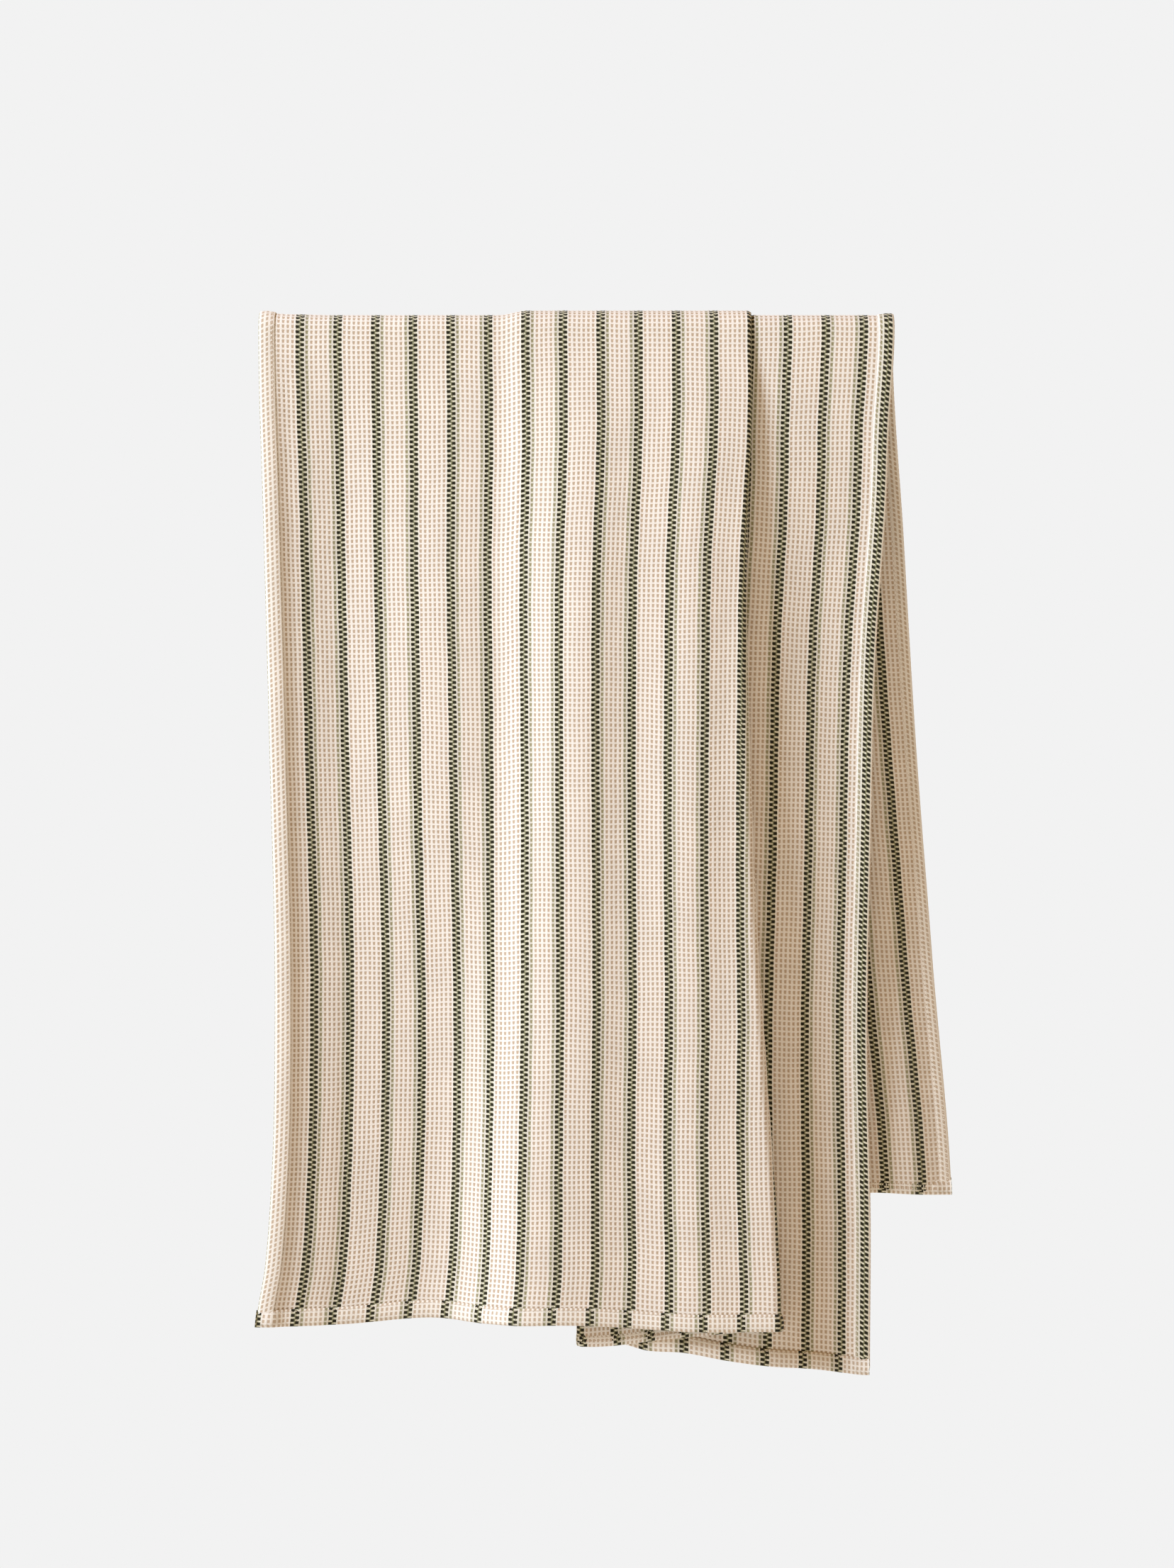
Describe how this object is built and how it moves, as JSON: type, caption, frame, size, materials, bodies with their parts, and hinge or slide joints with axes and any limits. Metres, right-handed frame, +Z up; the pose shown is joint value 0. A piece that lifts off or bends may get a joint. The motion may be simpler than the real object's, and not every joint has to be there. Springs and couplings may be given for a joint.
{
  "type": "striped waffle towel",
  "caption": "Waffle-weave cotton towel with thin lengthwise stripes and hems all round, folded in three and hung over a round rail.",
  "frame": {"origin": "on the axis of the rail that the towel hangs on, at the middle of the folded towel's width", "axes": "+X along the rail, +Z up, the front drop hangs on the -Y side"},
  "size_m": [0.4991, 0.051, 0.7637],
  "materials": {
    "waffle_cloth": "cream cotton waffle weave with thin dark green stripes along its length",
    "hem_cloth": "the same cloth turned over twice and pressed flat",
    "sewing_thread": "matt cream cotton thread"
  },
  "bodies": {
    "saddle": {"rail_inner_layer": "waffle_cloth", "rail_middle_layer": "waffle_cloth", "rail_outer_layer": "waffle_cloth", "rail_right_fold": "waffle_cloth", "rail_left_fold": "waffle_cloth", "rail_left_hem": "hem_cloth", "rail_right_hem": "hem_cloth", "rail_left_hem_thread": "sewing_thread", "rail_right_hem_thread": "sewing_thread"},
    "front_drop": {"front_inner_panel": "waffle_cloth", "front_inner_end_hem": "hem_cloth", "front_inner_end_thread": "sewing_thread", "front_middle_panel": "waffle_cloth", "front_middle_end_hem": "hem_cloth", "front_middle_end_thread": "sewing_thread", "front_outer_panel": "waffle_cloth", "front_outer_end_hem": "hem_cloth", "front_outer_end_thread": "sewing_thread", "front_right_fold": "waffle_cloth", "front_left_fold": "waffle_cloth", "front_left_hem": "hem_cloth", "front_right_hem": "hem_cloth", "front_left_hem_thread": "sewing_thread", "front_right_hem_thread": "sewing_thread"},
    "back_drop": {"back_inner_panel": "waffle_cloth", "back_inner_end_hem": "hem_cloth", "back_inner_end_thread": "sewing_thread", "back_middle_panel": "waffle_cloth", "back_middle_end_hem": "hem_cloth", "back_middle_end_thread": "sewing_thread", "back_outer_panel": "waffle_cloth", "back_outer_end_hem": "hem_cloth", "back_outer_end_thread": "sewing_thread", "back_right_fold": "waffle_cloth", "back_left_fold": "waffle_cloth", "back_left_hem": "hem_cloth", "back_right_hem": "hem_cloth", "back_left_hem_thread": "sewing_thread", "back_right_hem_thread": "sewing_thread"}
  },
  "joints": [
    {"name": "front_lift", "type": "hinge", "parent": "saddle", "child": "front_drop", "pos_m": [0, -0.0138, 0], "axis": [-1, 0, 0], "range_deg": [0, 60]},
    {"name": "back_lift", "type": "hinge", "parent": "saddle", "child": "back_drop", "pos_m": [0, 0.0138, 0], "axis": [1, 0, 0], "range_deg": [0, 60]}
  ]
}
